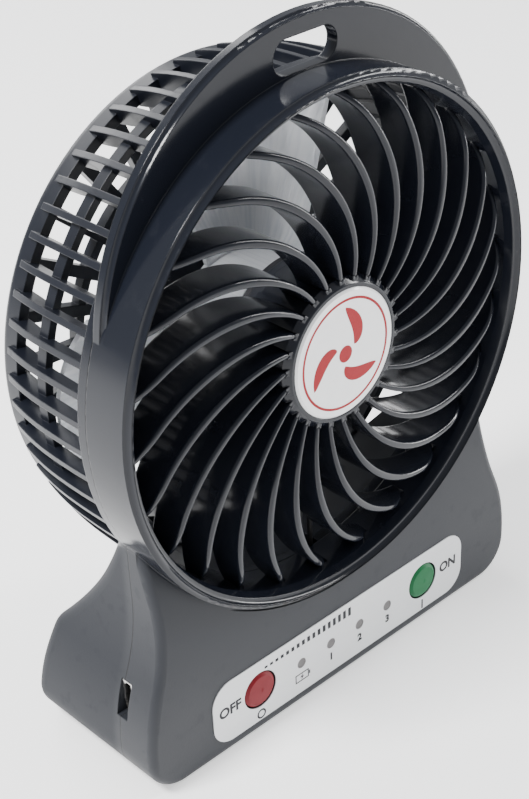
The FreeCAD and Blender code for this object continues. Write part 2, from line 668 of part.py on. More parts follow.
face_back = size["face_set"] + shell
cap_front = size["face_set"] - size["label_thick"] - size["button_proud"]
flange_front = face_back + 0.15
flange_back = flange_front + 0.6
switch_front = flange_back + size["button_travel"] + 0.15
plunger_bore = 1.75
for name, x in (("off", -reach), ("on", reach)):
    turned(f"{name}_button", [
        (cap_front, 0), (cap_front + 0.1, size["button_radius"] - 0.7),
        (cap_front + 0.6, size["button_radius"]), (flange_front, size["button_radius"]),
        (flange_front, size["button_radius"] + 1), (flange_back, size["button_radius"] + 1),
        (flange_back, 0)], x=x, z=button_z)
    switch = block(f"{name}_switch", x - 3, x + 3, switch_front, size["board_front"],
                   button_z - 3, button_z + 3)
    bore_hole(switch, x, switch_front, button_z, plunger_bore + 0.1, 1.6)
    turned(f"{name}_switch_plunger", [
        (flange_back, 0), (flange_back, plunger_bore - 0.2), (flange_back + 0.2, plunger_bore),
        (switch_front + 0.9, plunger_bore), (switch_front + 0.9, 0)], x=x, z=button_z)

# ------------------------------------------------------------------------------------- circuit board

board = new_body("circuit_board")
sketch = new_sketch(board, "front", (0, board_back, 0))
outline(sketch, [
    (size["board_left"] + 7, size["board_low"]), (size["board_right"], size["board_low"]),
    (size["board_right"], size["board_high"]), (size["board_left"], size["board_high"]),
    (size["board_left"], usb_z - 5), (size["board_left"] + 7, usb_z - 5)])
pad(board, sketch, size["board_thick"])
bore_hole(board, board_screws, 0, 0, 1.1, part_line)

guide = new_body("light_guide")
sketch = new_sketch(guide, "front", (0, size["board_front"] - 1.2, 0))
box(sketch, lamps[0] - 2.4, lamps[3] + 2.4, size["led_z"] - 2, size["led_z"] + 2)
pad(guide, sketch, 1.4)
sketch = new_sketch(guide, "front", (0, size["board_front"] - 2, 0))
for x in lamps:
    circle(sketch, x, size["led_z"], size["led_radius"] - 0.05)
pad(guide, sketch, size["board_front"] - 2 - size["face_set"] + 0.1)
for name, x in zip(("charge_lamp", "speed_lamp_1", "speed_lamp_2", "speed_lamp_3"), lamps):
    block(name, x - 1, x + 1, size["board_front"] - 0.8, size["board_front"],
          size["led_z"] - 0.65, size["led_z"] + 0.65)

block("control_chip", -22, -17, board_back, board_back + 1.5, 16.2, 20.2)
block("charging_chip", -38, -34, board_back, board_back + 1.5, 9.2, 13.2)

usb_left, usb_right = size["usb_mouth"], size["usb_mouth"] + size["usb_long"]
usb_shell = block("usb_shell", usb_left, usb_right, board_back, board_back + size["usb_deep"],
                  usb_z - size["usb_tall"] / 2, usb_z + size["usb_tall"] / 2)
sketch = new_sketch(usb_shell, "side", (usb_left - 1, 0, 0))
wall = 0.3
inner_half = size["usb_tall"] / 2 - wall
outline(sketch, [
    (board_back + wall, usb_z - inner_half), (board_back + wall, usb_z + inner_half),
    (board_back + size["usb_deep"] - 1.1, usb_z + inner_half),
    (board_back + size["usb_deep"] - wall, usb_z + inner_half - 0.8),
    (board_back + size["usb_deep"] - wall, usb_z - inner_half + 0.8),
    (board_back + size["usb_deep"] - 1.1, usb_z - inner_half)])
feature = usb_shell.newObject("PartDesign::Pocket", "Mouth")
feature.Profile = sketch
feature.Reversed = True
bind(feature, "Length", size["usb_long"] + 0.4)
doc.recompute()
block("usb_tongue", usb_left + 0.8, usb_right - 0.6, board_back + 0.9, board_back + 1.5,
      usb_z - inner_half + 0.5, usb_z + inner_half - 0.5)


def screw_set(label, places, seat, length, radius, head_radius, head):
    """A set of like screws, each its own solid. Their heads rest on depth seat and face the rear."""
    body = new_body(label)
    body.AllowCompound = True
    for x, z in places:
        sketch = new_sketch(body, "side", (x, 0, z))
        seat = as_size(seat)
        outline(sketch, [
            (seat - length, 0), (seat - length + 0.8, radius), (seat, radius), (seat, head_radius),
            (seat + head * 0.6, head_radius), (seat + head, head_radius * 0.6), (seat + head, 0)])
        turn(body, sketch)
    long_half, slot_half = head_radius * 0.6, 0.25
    for across, up in ((long_half, slot_half), (slot_half, long_half)):
        sketch = new_sketch(body, "front", (0, seat + head * 0.4, 0))
        for x, z in places:
            box(sketch, x - across, x + across, z - up, z + up)
        pad(body, sketch, head, cut=True)


screw_set("board_screws", board_screws, board_back, 4.5, 0.78, 1.8, 1.2)
screw_set("housing_screws", screw_places, screw_seat, 8, pilot - 0.02, size["screw_head"], 1.8)

# ---------------------------------------------------------------------------------------------- cell
# A cylindrical lithium cell lies across the base between two sprung contacts.

cell_long = size["cell_long"]
cell_left = -cell_long / 2
turned("battery_cell", [
    (cell_left, 0), (cell_left, cell_radius - 0.8), (cell_left + 0.5, cell_radius),
    (cell_half - 2.1, cell_radius), (cell_half - 1.6, cell_radius - 0.5),
    (cell_half - 1.6, 3.2), (cell_half - 2.4, 3.2), (cell_half - 2.4, 0)], x=cell_y, z=cell_z, along="x")
turned("battery_cap", [
    (cell_half - 2.4, 0), (cell_half - 2.4, 3), (cell_half - 1.2, 3), (cell_half - 0.8, 2.6),
    (cell_half, 2.6), (cell_half, 0)], x=cell_y, z=cell_z, along="x")
for name, side in (("negative", -1), ("positive", 1)):
    contact = new_body(f"{name}_contact")
    sketch = new_sketch(contact, "top", (0, 0, cell_z - 4))
    near, far = side * (cell_half + 0.05), side * (bay_wall - 0.1)
    outline(sketch, [
        (far, cell_y - 7), (far, cell_y + 5), (side * (cell_half + 0.6), cell_y + 5),
        (side * (cell_half + 0.6), cell_y + 2), (near, cell_y), (side * (cell_half + 0.6), cell_y - 2),
        (side * (cell_half + 0.6), cell_y - 7)])
    pad(contact, sketch, 8)
    lead = new_body(f"{name}_cell_lead")
    lead_x = side * (cell_half + 0.8)
    sketch = new_sketch(lead, "front", (0, cell_y - 7, 0))
    circle(sketch, lead_x, cell_z + 2, size["lead_radius"])
    pad(lead, sketch, cell_y - 7 - board_back)

# --------------------------------------------------------------------------------------------- motor
# A small brushed motor sits in the hub cup with its shaft to the rear. A clamp ring holds it in.

motor_radius = size["motor_radius"]
can_wall = 0.8
shaft, running = size["shaft_radius"], size["running_gap"]
can_back_bore = 2.6
can = turned("motor_can", [
    (motor_front + 1.2, motor_radius - can_wall), (motor_front + 1.2, motor_radius),
    (motor_back - 0.5, motor_radius), (motor_back, motor_radius - 0.5), (motor_back, 3.1),
    (motor_back + 1.2, 3.1), (motor_back + 1.2, can_back_bore), (motor_back - can_wall, can_back_bore),
    (motor_back - can_wall, motor_radius - can_wall)], z=axis_z)
turned("motor_end_cap", [
    (motor_front, 0), (motor_front, motor_radius - 1), (motor_front + 0.4, motor_radius),
    (motor_front + 1.2, motor_radius), (motor_front + 1.2, motor_radius - can_wall),
    (motor_front + 1.8, motor_radius - can_wall), (motor_front + 1.8, can_back_bore),
    (motor_front + 0.6, can_back_bore), (motor_front + 0.6, 0)], z=axis_z)
magnet_back = motor_back - can_wall - 0.3
turned("motor_magnet", [
    (motor_front + 2.2, motor_radius - can_wall - 2.2), (motor_front + 2.2, motor_radius - can_wall),
    (magnet_back, motor_radius - can_wall), (magnet_back, motor_radius - can_wall - 2.2)], z=axis_z)
for name, front, long in (("front_bush", motor_front + 0.6, 1.9),
                          ("rear_bush", motor_back - can_wall, can_wall + 1.2)):
    turned(name, [
        (front, shaft + running), (front, can_back_bore), (front + long, can_back_bore),
        (front + long, shaft + running)], z=axis_z)
impeller_front = motor_back + size["impeller_clear"]
impeller_back = impeller_front + size["impeller_deep"]
shaft_end = impeller_back - size["shaft_short"]
turned("motor_shaft", [
    (motor_front + 0.9, 0), (motor_front + 0.9, shaft), (shaft_end - 0.3, shaft),
    (shaft_end, shaft - 0.3), (shaft_end, 0)], z=axis_z)
turned("armature", [
    (motor_front + 3.2, shaft), (motor_front + 3.2, motor_radius - can_wall - 2.6),
    (magnet_back - 0.8, motor_radius - can_wall - 2.6), (magnet_back - 0.8, shaft)], z=axis_z)
clamp = turned("motor_clamp", [
    (motor_back + 0.05, 4), (motor_back + 0.05, hub), (motor_back + 1.15, hub), (motor_back + 1.15, 4)],
    z=axis_z)
clamp_screws = [(-6.5, axis_z), (6.5, axis_z)]
bore_hole(clamp, clamp_screws, 0, 0, 1.1, rear_depth)
bore_hole(can, clamp_screws, motor_back - 2, 0, 0.85, rear_depth)
screw_set("clamp_screws", clamp_screws, motor_back + 1.15, 2.4, 0.8, 1.6, 1.1)

# Two leads run from the motor straight down behind the vanes to a plug on the board.
plug_top = 21
block("motor_plug", -2.7, 2.7, board_back, lead_y + 1.4, plug_top - 6, plug_top)
for name, x in (("motor_lead_plus", -lead_reach), ("motor_lead_minus", lead_reach)):
    lead = new_body(name)
    sketch = new_sketch(lead, "top", (0, 0, plug_top))
    circle(sketch, x, lead_y, size["lead_radius"])
    pad(lead, sketch, axis_z - motor_radius - 0.1 - plug_top)

# ------------------------------------------------------------------------------------------ impeller
# One clear moulding: a hub cup pressed on the shaft, and four twisted blades.

impeller = new_body("impeller")
front, back = impeller_front, impeller_back
impeller_hub = size["impeller_hub"]
sketch = new_sketch(impeller, "side", (0, 0, axis_z))
outline(sketch, [
    (front, impeller_hub - 1.4), (front, impeller_hub), (back - 1.5, impeller_hub),
    (back, impeller_hub - 1.5), (back, shaft + 1.2), (back + 0.6, shaft + 1.2), (back + 0.6, 0),
    (shaft_end + 0.1, 0), (shaft_end + 0.1, shaft), (front + 1, shaft),
    (front + 1, 3), (back - 1.4, 3), (back - 1.4, impeller_hub - 2.4), (back - 2.4, impeller_hub - 1.4)])
turn(impeller, sketch)

blade_thick = size["blade_thick"]


def blade_section(height, half, front_y, back_y, camber):
    """A slice across a blade at a height above the axis: a thin bowed strip."""
    sketch = new_sketch(impeller, "top", (0, 0, axis_z + height))
    outline(sketch, [
        (half, front_y, camber, 1), (half, front_y + blade_thick),
        (-half, back_y + blade_thick, camber + blade_thick, -1), (-half, back_y)])
    return sketch


root_slice = blade_section(impeller_hub - 2, 7.5, front + 1, back - 3, 24)
tip = bore - size["tip_gap"]
tip_slice = blade_section(tip + 2, 19, front + 2, back - 3.4, 70)
loft = impeller.newObject("PartDesign::AdditiveLoft", "Blade")
loft.Profile = root_slice
loft.Sections = [tip_slice]
doc.recompute()
wheel_centre = new_sketch(impeller, "front", (0, 0, axis_z))
circle(wheel_centre, 0, 0, 1)
around(impeller, [loft], wheel_centre, size["blade_count"])
sketch = new_sketch(impeller, "side", (0, 0, axis_z))
outline(sketch, [(front - 3, tip), (front - 3, tip + 12), (back + 3, tip + 12), (back + 3, tip)])
turn(impeller, sketch, cut=True)

# ------------------------------------------------------------------------------------------- writing

chord_y, chord_r = size["crown_rim"] - size["crown_hub"], bore - size["tip_reach"] - hub
chord = root(chord_y * chord_y + chord_r * chord_r)
crown = size["crown_radius"]
crest = (size["crown_rim"] + size["crown_hub"]) / 2 - crown \
    + root(crown * crown - chord * chord / 4) * chord_r / chord
middle_y = -(crest + rear_depth) / 2
for body in nodes:
    body.Placement = FreeCAD.Placement(FreeCAD.Vector(0, middle_y.value, 0), FreeCAD.Rotation())
    body.setExpression(".Placement.Base.y", middle_y.text)
doc.recompute()

for item in doc.Objects:
    if "Invalid" in item.State or "Error" in item.State:
        raise ValueError(f"{item.Label} failed: {item.State}")
for body in nodes:
    if body.Shape.isNull() or not body.Shape.isValid():
        raise ValueError(f"{body.Label} is not a valid solid")

os.makedirs("parts", exist_ok=True)
for body in nodes:
    body.Shape.exportStep(f"parts/{body.Label}.step")
    print(f"{body.Label:24s} {len(body.Shape.Solids)} solid(s) {body.Shape.Volume:10.1f} mm3")
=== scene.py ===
import math

import bmesh
import bpy
from mathutils import Matrix, Vector


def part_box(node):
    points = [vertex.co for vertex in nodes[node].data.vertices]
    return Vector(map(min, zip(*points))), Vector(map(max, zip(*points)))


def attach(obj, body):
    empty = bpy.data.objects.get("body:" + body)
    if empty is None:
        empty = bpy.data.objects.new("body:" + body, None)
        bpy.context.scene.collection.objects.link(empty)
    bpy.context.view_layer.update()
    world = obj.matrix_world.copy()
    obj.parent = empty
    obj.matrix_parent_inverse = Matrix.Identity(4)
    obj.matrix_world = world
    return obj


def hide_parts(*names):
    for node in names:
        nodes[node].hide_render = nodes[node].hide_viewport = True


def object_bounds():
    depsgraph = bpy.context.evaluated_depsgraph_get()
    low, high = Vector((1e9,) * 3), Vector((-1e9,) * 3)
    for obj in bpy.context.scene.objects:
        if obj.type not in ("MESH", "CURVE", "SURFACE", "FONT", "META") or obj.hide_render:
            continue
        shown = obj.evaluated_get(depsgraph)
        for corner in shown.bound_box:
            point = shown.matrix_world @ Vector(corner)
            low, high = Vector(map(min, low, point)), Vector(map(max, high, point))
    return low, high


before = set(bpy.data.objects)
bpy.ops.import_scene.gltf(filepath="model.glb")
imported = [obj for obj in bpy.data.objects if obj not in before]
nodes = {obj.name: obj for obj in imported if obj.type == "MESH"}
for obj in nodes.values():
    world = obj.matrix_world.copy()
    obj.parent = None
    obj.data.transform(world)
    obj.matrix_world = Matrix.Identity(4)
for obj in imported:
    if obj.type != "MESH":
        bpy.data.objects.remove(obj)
cad_low, cad_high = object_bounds()
MM = 0.001

# ---------------------------------------------------------------------------------------------- studio
# A pale, evenly lit table in a white room, a soft lamp high on the left, a narrow strip on the right for
# the long highlights in the ring, and a wide lamp behind that shines through the grilles.

PALE = (0.86, 0.86, 0.86, 1.0)


class Signal:
    """A socket in a finish. Python's sums on it become Math nodes."""

    def __init__(self, finish, socket):
        self.finish = finish
        self.socket = socket

    def maths(self, operation, first, second):
        return self.finish.node("Math", {"operation": operation}, {0: first, 1: second})

    def __add__(self, other):
        return self.maths("ADD", self, other)

    def __radd__(self, other):
        return self.maths("ADD", other, self)

    def __sub__(self, other):
        return self.maths("SUBTRACT", self, other)

    def __rsub__(self, other):
        return self.maths("SUBTRACT", other, self)

    def __mul__(self, other):
        return self.maths("MULTIPLY", self, other)

    def __rmul__(self, other):
        return self.maths("MULTIPLY", other, self)

    def __pow__(self, other):
        return self.maths("POWER", self, other)


class Finish:
    """A material on the bench. Sockets are given by the names that the shader shows."""

    def __init__(self, name, constants):
        self.material = bpy.data.materials.new(name)
        self.material.use_nodes = True
        self.tree = self.material.node_tree
        self.shader = self.tree.nodes["Principled BSDF"]
        self.set(constants)

    def feed(self, socket, value):
        if isinstance(value, Signal):
            self.tree.links.new(value.socket, socket)
        else:
            socket.default_value = value

    def set(self, sockets):
        """Set or link the shader's own sockets."""
        for name, value in sockets.items():
            self.feed(self.shader.inputs[name], value)

    def node(self, kind, settings=None, sockets=None, output=0):
        """Add a node: its settings first, then the values or links of its sockets."""
        made = self.tree.nodes.new("ShaderNode" + kind)
        for name, value in (settings or {}).items():
            setattr(made, name, value)
        for name, value in (sockets or {}).items():
            self.feed(made.inputs[name], value)
        return Signal(self, made.outputs[output])

    def place(self):
        """The point on the piece, in millimetres."""
        metres = self.node("TexCoord", output="Object")
        return self.node("VectorMath", {"operation": "SCALE"}, {0: metres, "Scale": 1 / MM})

    def axes(self, vector):
        return [self.node("SeparateXYZ", sockets={0: vector}, output=axis) for axis in "XYZ"]

    def noise(self, vector, scale, detail=2.0, stretch=None):
        """Grain about 1 / scale millimetres across, from 0 to 1."""
        if stretch:
            vector = self.node("VectorMath", {"operation": "MULTIPLY"}, {0: vector, 1: stretch})
        return self.node("TexNoise", sockets={"Vector": vector, "Scale": scale, "Detail": detail})

    def ease(self, value, low, high):
        """0 below low and 1 above high, with a smooth change between them."""
        return self.node("MapRange", {"interpolation_type": "SMOOTHSTEP"},
                         {"Value": value, "From Min": low, "From Max": high})

    def mix(self, factor, first, second):
        """Blend two colours."""
        return self.node("Mix", {"data_type": "RGBA"}, {0: factor, 6: first, 7: second}, output=2)

    def bump(self, height, depth, normal=None):
        """A surface relief depth millimetres deep."""
        sockets = {"Height": height, "Strength": 1.0, "Distance": depth * MM}
        if normal:
            sockets["Normal"] = normal
        return self.node("Bump", sockets=sockets)


def put_on(finish, *names):
    """Give CAD nodes a finish, in every slot that they have."""
    for name in names:
        for slot in nodes[name].material_slots:
            slot.material = finish.material


def mesh_piece(name, mesh, finish, body):
    """Add a mesh to the scene as a piece on a body."""
    piece = bpy.data.objects.new(name, mesh)
    bpy.context.scene.collection.objects.link(piece)
    mesh.materials.clear()
    mesh.materials.append(finish.material)
    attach(piece, body)
    return piece


def soft_lamp(name, place, target, width, height, power):
    """A rectangular softbox that faces its target."""
    lamp = bpy.data.lights.new(name, "AREA")
    lamp.shape = "RECTANGLE"
    lamp.size, lamp.size_y, lamp.energy = width, height, power
    holder = bpy.data.objects.new(name, lamp)
    bpy.context.scene.collection.objects.link(holder)
    way = Vector(place) - Vector(target)
    turn = way.to_track_quat("Z", "Y").to_matrix().to_4x4()
    holder.matrix_world = Matrix.Translation(place) @ turn
    return holder


table_half = 3.0
table_mesh = bpy.data.meshes.new("table")
table_mesh.from_pydata(
    [(-table_half, -table_half, 0), (table_half, -table_half, 0), (table_half, table_half, 0),
     (-table_half, table_half, 0)], [], [(0, 1, 2, 3)])
table = bpy.data.objects.new("table", table_mesh)
bpy.context.scene.collection.objects.link(table)
table.location.z = cad_low.z - 0.0002
table_paint = Finish("table_paint", {
    "Base Color": PALE, "Roughness": 0.6, "Emission Color": PALE, "Emission Strength": 0.9})
table_mesh.materials.append(table_paint.material)

room = bpy.data.worlds.new("room")
bpy.context.scene.world = room
room.use_nodes = True
room.node_tree.nodes["Background"].inputs["Color"].default_value = (0.95, 0.97, 1.0, 1.0)
room.node_tree.nodes["Background"].inputs["Strength"].default_value = 0.6

middle = (0.0, 0.0, 0.07)
soft_lamp("key_lamp", (-0.5, 0.1, 0.8), middle, 0.22, 0.22, 16.0)
soft_lamp("strip_lamp", (0.7, -0.3, 0.35), middle, 0.08, 0.8, 7.0)
soft_lamp("back_lamp", (0.1, 0.7, 0.5), middle, 0.6, 0.4, 5.0)

# Azimuth and elevation of the view, its small roll, and the lens of a close product shot.
azimuth, elevation, roll = math.radians(-39.92), math.radians(32.12), math.radians(-4.11)
back = Vector((math.sin(azimuth) * math.cos(elevation), -math.cos(azimuth) * math.cos(elevation),
               math.sin(elevation)))
right = (-back).cross(Vector((0, 0, 1))).normalized()
up = right.cross(-back)
rolled_right = math.cos(roll) * right + math.sin(roll) * up
rolled_up = math.cos(roll) * up - math.sin(roll) * right
camera = bpy.data.cameras.new("camera")
camera.lens, camera.sensor_width = 71.5, 36.0
camera.shift_x, camera.shift_y = 0.083, 0.038
viewer = bpy.data.objects.new("camera", camera)
bpy.context.scene.collection.objects.link(viewer)
viewer.matrix_world = Matrix.Translation((-0.1848, -0.1965, 0.2232)) @ Matrix(
    (rolled_right, rolled_up, back)).transposed().to_4x4()
bpy.context.scene.camera = viewer

# --------------------------------------------------------------------------------------- moulded covers
# The two covers and the battery door are injection-moulded black ABS. The tool is polished around the
# ring, the vanes and the fins, and spark-eroded on the base, which leaves a fine satin grain.



def centre_of(node):
    """The middle of a CAD node's box, in millimetres."""
    low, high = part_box(node)
    return (low + high) / 2 / MM


ring_z = centre_of("hub_badge").z
ring_edge = 52.7
seam_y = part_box("rear_cover")[0].y / MM
BLACK = (0.007, 0.0085, 0.0135, 1.0)
BLACK_SATIN = (0.021, 0.023, 0.028, 1.0)


def black_plastic(name, seam):
    """Black ABS, glossy around the ring and satin on the base; seam darkens the joint of the covers."""
    finish = Finish(name, {"IOR": 1.5, "Specular IOR Level": 0.31})
    place = finish.place()
    x, y, z = finish.axes(place)
    radius = (x * x + (z - ring_z) ** 2) ** 0.5
    fins = finish.ease(y, seam_y + 0.5, seam_y + 3)
    base = finish.ease(radius, ring_edge, ring_edge + 0.4) * (1 - finish.ease(z, 56, 60))
    cloud = finish.noise(place, 0.06, 3.0)
    grain = finish.noise(place, 3.2, 3.0)
    rub = finish.ease(finish.noise(place, 0.35, 5.0), 0.56, 0.72)
    shade = finish.mix(0.12 * cloud + 0.65 * base + 0.08 * rub, BLACK, BLACK_SATIN)
    if seam:
        line = 1 - finish.ease(finish.node("Math", {"operation": "ABSOLUTE"}, {0: y - seam_y}), 0.05, 0.16)
        shade = finish.mix(line * 0.85, shade, (0.002, 0.002, 0.002, 1.0))
    gloss = 0.12 + 0.07 * cloud + 0.08 * rub + 0.16 * fins
    edges = finish.node("Bevel", {"samples": 6}, {"Radius": 0.3 * MM})
    finish.set({
        "Base Color": shade,
        "Roughness": gloss + base * (0.27 + 0.06 * grain),
        "Normal": finish.bump(grain * (0.1 + base * 0.9) + 2.0 * cloud, 0.02, edges),
    })
    return finish


put_on(black_plastic("black_shell_rear", True), "rear_cover")
put_on(black_plastic("black_shell_door", False), "battery_door")

# ---------------------------------------------------------------------------------------- front cover
# One moulding. Its vanes are finished here: each swells from the hub towards the ring, has a rounded
# front edge, and runs down in a round to the ring's wall.

lip_y = seam_y - 11.0
bore_radius, hub_radius, vane_back = 49.5, 15.0, 8.6
vane_count, vane_arc, vane_turn, vane_lean = 26, 29.14, math.radians(55.9), math.radians(2.4)
crown_hub, crown_rim, crown_radius = 0.7, 1.3, 84.0
tip_reach, tip_set, tip_round = 5.0, 5.3, 6.9
edge_round, back_chamfer = 0.62, 0.15
root_end, wall_end = 13.6, 50.0


def arc_depth(radius, start, end, bend):
    """Depth at a radius on the circular arc of radius bend, bowed forward, through start and end, which
    are (radius, depth) points."""
    (r0, y0), (r1, y1) = start, end
    chord = math.hypot(r1 - r0, y1 - y0)
    rise = math.sqrt(bend * bend - chord * chord / 4) / chord
    centre_r = (r0 + r1) / 2 - (y1 - y0) * rise
    centre_y = (y0 + y1) / 2 + (r1 - r0) * rise
    return centre_y - math.sqrt(max(bend * bend - (radius - centre_r) ** 2, 0))


def front_depth(radius):
    """How far the vanes' front edge lies behind the lip."""
    rim = (bore_radius - tip_reach, crown_rim)
    if radius <= rim[0]:
        return arc_depth(radius, (hub_radius, crown_hub), rim, crown_radius)
    return arc_depth(min(radius, bore_radius), rim, (bore_radius, tip_set), tip_round)


def vane_section(half, front):
    """A cut across a vane: (sideways, depth) points of half a section, from front to back."""
    bend = min(edge_round, 0.85 * half)
    turns = [math.radians(90 - 18 * i) for i in range(6)]
    side = [(half - bend + bend * math.cos(t), front + bend - bend * math.sin(t)) for t in turns]
    side += [(half, front + bend + 0.2), (half, vane_back - 0.4), (half, vane_back - back_chamfer)]
    return side + [(half - back_chamfer, vane_back)]


centre = Vector((-vane_arc * math.cos(vane_turn), bore_radius - vane_arc * math.sin(vane_turn)))
centre_far, centre_way = centre.length, math.atan2(centre.y, centre.x)
stations = []
station_count = 44
for i in range(station_count + 1):
    part = i / station_count
    radius = root_end + (wall_end - root_end) * math.sin(part * math.pi / 2) ** 0.9
    ratio = (radius ** 2 - centre_far ** 2 - vane_arc ** 2) / (2 * centre_far * vane_arc)
    way = centre_way - math.acos(ratio)
    swell = math.sin(math.pi * min(max((radius - 15) / 37, 0), 1)) ** 2
    half = 0.52 + 0.10 * (radius - 15) / 35 + 0.26 * swell
    stations.append((way, half, front_depth(radius)))

cover = bmesh.new()
cover.from_mesh(nodes["front_cover"].data)
plain_vanes = []
for face in cover.faces:
    spot = face.calc_center_median() / MM
    if hub_radius + 0.2 < math.hypot(spot.x, spot.z - ring_z) < bore_radius - 0.15:
        plain_vanes.append(face)
bmesh.ops.delete(cover, geom=plain_vanes, context="FACES")
for index in range(vane_count):
    turn = 2 * math.pi * index / vane_count - vane_lean
    loops = []
    for way, half, front in stations:
        right_side = vane_section(half, front)
        left_side = [(-across, depth) for across, depth in reversed(right_side)]
        loop = []
        for across, depth in right_side + left_side:
            reach = vane_arc + across
            x = centre.x + reach * math.cos(way)
            z = centre.y + reach * math.sin(way)
            loop.append(cover.verts.new((
                (x * math.cos(turn) - z * math.sin(turn)) * MM, (lip_y + depth) * MM,
                (x * math.sin(turn) + z * math.cos(turn) + ring_z) * MM)))
        loops.append(loop)
    for first, second in zip(loops, loops[1:]):
        for j in range(len(first)):
            k = (j + 1) % len(first)
            cover.faces.new((first[j], second[j], second[k], first[k])).smooth = True
    cover.faces.new(loops[0])
    cover.faces.new(reversed(loops[-1]))
front_mesh = bpy.data.meshes.new("front_moulding")
cover.to_mesh(front_mesh)
cover.free()
front_plastic = black_plastic("black_shell_front", True)
front_moulding = mesh_piece("front_moulding", front_mesh, front_plastic, "housing")
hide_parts("front_cover")

# ------------------------------------------------------------------------------------------- impeller
# One frosted, lightly tinted moulding, pressed on the motor shaft. Light passes through its thin blades
# and the fine haze on them is stronger towards the tips.

frosted = Finish("frosted_plastic", {"Transmission Weight": 0.7, "IOR": 1.49})
place = frosted.place()
x, y, z = frosted.axes(place)
radius = (x * x + (z - ring_z) ** 2) ** 0.5
bearing = frosted.node("Math", {"operation": "ARCTAN2"}, {0: z - ring_z, 1: x})
flow = frosted.node("CombineXYZ", sockets={"X": bearing * 22, "Y": radius * 0.05, "Z": 0.0})
streak = frosted.noise(flow, 1.6, 4.0)
haze = frosted.noise(place, 0.12, 4.0)
frosted.set({
    "Base Color": frosted.mix(haze * 0.4 + frosted.ease(streak, 0.4, 0.7) * 0.6,
                              (0.93, 0.94, 0.96, 1.0), (0.66, 0.69, 0.74, 1.0)),
    "Roughness": 0.22 + 0.2 * haze + 0.1 * streak,
    "Normal": frosted.bump(streak * 4.0 + haze, 0.03),
})
put_on(frosted, "impeller")

# ----------------------------------------------------------------------------------------------- badge
# A white plastic disc, glued in the hub's recess. Its fan sign and ring are screen-printed in red ink
# under a thin clear coat.

badge_low, badge_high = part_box("hub_badge")
white = Finish("white_badge", {"Coat Weight": 0.3, "Coat Roughness": 0.08})
place = white.place()
white.set({
    "Base Color": white.mix(white.noise(place, 0.3, 3.0), (0.90, 0.90, 0.90, 1.0), (0.84, 0.84, 0.84, 1.0)),
    "Roughness": 0.25 + 0.1 * white.noise(place, 0.8, 2.0),
    "Normal": white.bump(white.noise(place, 0.5, 2.0), 0.01),
})
put_on(white, "hub_badge")


def ink(name, colour):
    """Screen-printed ink: a flat colour with a slightly uneven film."""
    finish = Finish(name, {"Specular IOR Level": 0.2})
    place = finish.place()
    film = finish.noise(place, 2.5, 3.0)
    darker = tuple(0.75 * part for part in colour[:3]) + (1.0,)
    finish.set({
        "Base Color": finish.mix(film, colour, darker),
        "Roughness": 0.35 + 0.15 * film,
        "Normal": finish.bump(film, 0.004),
    })
    return finish


INK_DEPTH = 0.03 * MM


def printed(name, loops, front, finish):
    """Ink closed loops of x, z points in millimetres on the plane y = front. A loop inside another is
    left open."""
    curve = bpy.data.curves.new(name, "CURVE")
    curve.dimensions = "2D"
    curve.fill_mode = "BOTH"
    curve.extrude = INK_DEPTH / 2
    for loop in loops:
        spline = curve.splines.new("POLY")
        spline.points.add(len(loop) - 1)
        for point, (x, z) in zip(spline.points, loop):
            point.co = (x * MM, z * MM, 0, 1)
        spline.use_cyclic_u = True
    return stamped(name, curve, (0, 0), front, finish)


def stamped(name, curve, centre, front, finish):
    """Turn a flat curve or text to face the front and lay it on the plane y = front."""
    drawn = bpy.data.objects.new(name + "_drawn", curve)
    bpy.context.scene.collection.objects.link(drawn)
    bpy.context.view_layer.update()
    mesh = bpy.data.meshes.new_from_object(drawn.evaluated_get(bpy.context.evaluated_depsgraph_get()))
    bpy.data.objects.remove(drawn)
    mesh.name = name
    spot = Matrix.Translation((centre[0] * MM, front - INK_DEPTH / 2 + 0.002 * MM, centre[1] * MM))
    mesh.transform(spot @ Matrix.Rotation(math.pi / 2, 4, "X"))
    return mesh_piece(name, mesh, finish, "housing")


def round_loop(x, z, radius, steps=48):
    return [(x + radius * math.cos(2 * math.pi * i / steps), z + radius * math.sin(2 * math.pi * i / steps))
            for i in range(steps)]


def blade_loop(turn):
    """One bowed blade of the fan sign."""
    steps = 16
    inner, outer, sweep, width = 2.6, 9.6, 1.05, 0.62
    sides = []
    for side in (1, -1):
        for i in range(steps):
            part = i / steps if side == 1 else 1 - i / steps
            radius = inner + (outer - inner) * part
            half = width * math.sin(math.pi * part ** 0.7) ** 0.8
            angle = turn + sweep * part + side * half * 0.55
            sides.append((radius * math.cos(angle), ring_z + radius * math.sin(angle)))
    return sides


red_ink = ink("red_ink", (0.34, 0.006, 0.012, 1.0))
sign = [blade_loop(2 * math.pi * i / 3 + 0.5) for i in range(3)]
printed("fan_sign", sign + [round_loop(0, ring_z, 1.7)], badge_low.y, red_ink)
printed("fan_sign_ring", [round_loop(0, ring_z, 11.3, 96), round_loop(0, ring_z, 10.8, 96)], badge_low.y,
        red_ink)

# --------------------------------------------------------------------------------------- push buttons
# Two domed caps moulded in coloured ABS with a satin face. Each stands in its hole in the cover and rests
# on the plunger of its switch on the board.


def button_plastic(name, colour, deep):
    finish = Finish(name, {"Specular IOR Level": 0.2})
    place = finish.place()
    cloud = finish.noise(place, 0.5, 3.0)
    finish.set({
        "Base Color": finish.mix(cloud, colour, deep),
        "Roughness": 0.38 + 0.12 * cloud,
        "Normal": finish.bump(finish.noise(place, 2.0, 2.0), 0.01),
    })
    return finish


put_on(button_plastic("red_button", (0.19, 0.006, 0.012, 1.0), (0.14, 0.004, 0.009, 1.0)), "off_button")
put_on(button_plastic("green_button", (0.006, 0.13, 0.042, 1.0), (0.004, 0.10, 0.032, 1.0)), "on_button")

